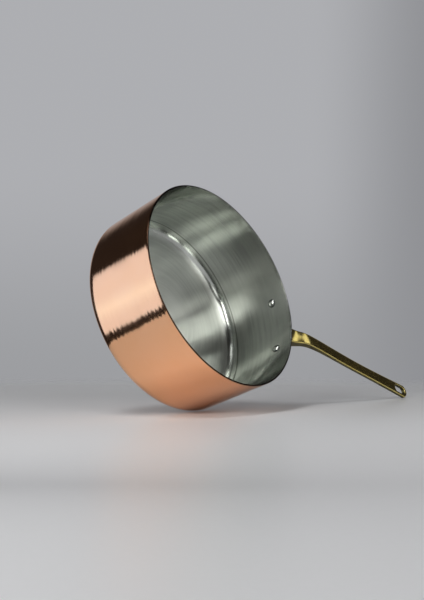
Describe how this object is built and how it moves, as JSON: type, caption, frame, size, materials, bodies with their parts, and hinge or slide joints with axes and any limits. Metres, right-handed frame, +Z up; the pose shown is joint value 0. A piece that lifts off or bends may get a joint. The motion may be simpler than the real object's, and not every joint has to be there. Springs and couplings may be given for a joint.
{
  "type": "copper saucepan",
  "caption": "Round straight-sided copper saucepan with a grey metal lining and a long riveted brass handle that has a hanging slot near its tip.",
  "frame": {"origin": "centre of the flat underside of the base", "axes": "+Z up the pan's axis towards the mouth, +X out along the handle, +Y to the left of the handle seen from the pan"},
  "size_m": [0.5175, 0.24, 0.0985],
  "materials": {
    "copper": "polished copper with fine lines round the wall",
    "lining": "satin, brushed in rings",
    "brass": "cast brass, polished",
    "rivets": "satin"
  },
  "bodies": {
    "root": {"copper_body": "copper", "inner_lining": "lining", "brass_handle": "brass", "rivet_left": "rivets", "rivet_right": "rivets"}
  },
  "joints": []
}
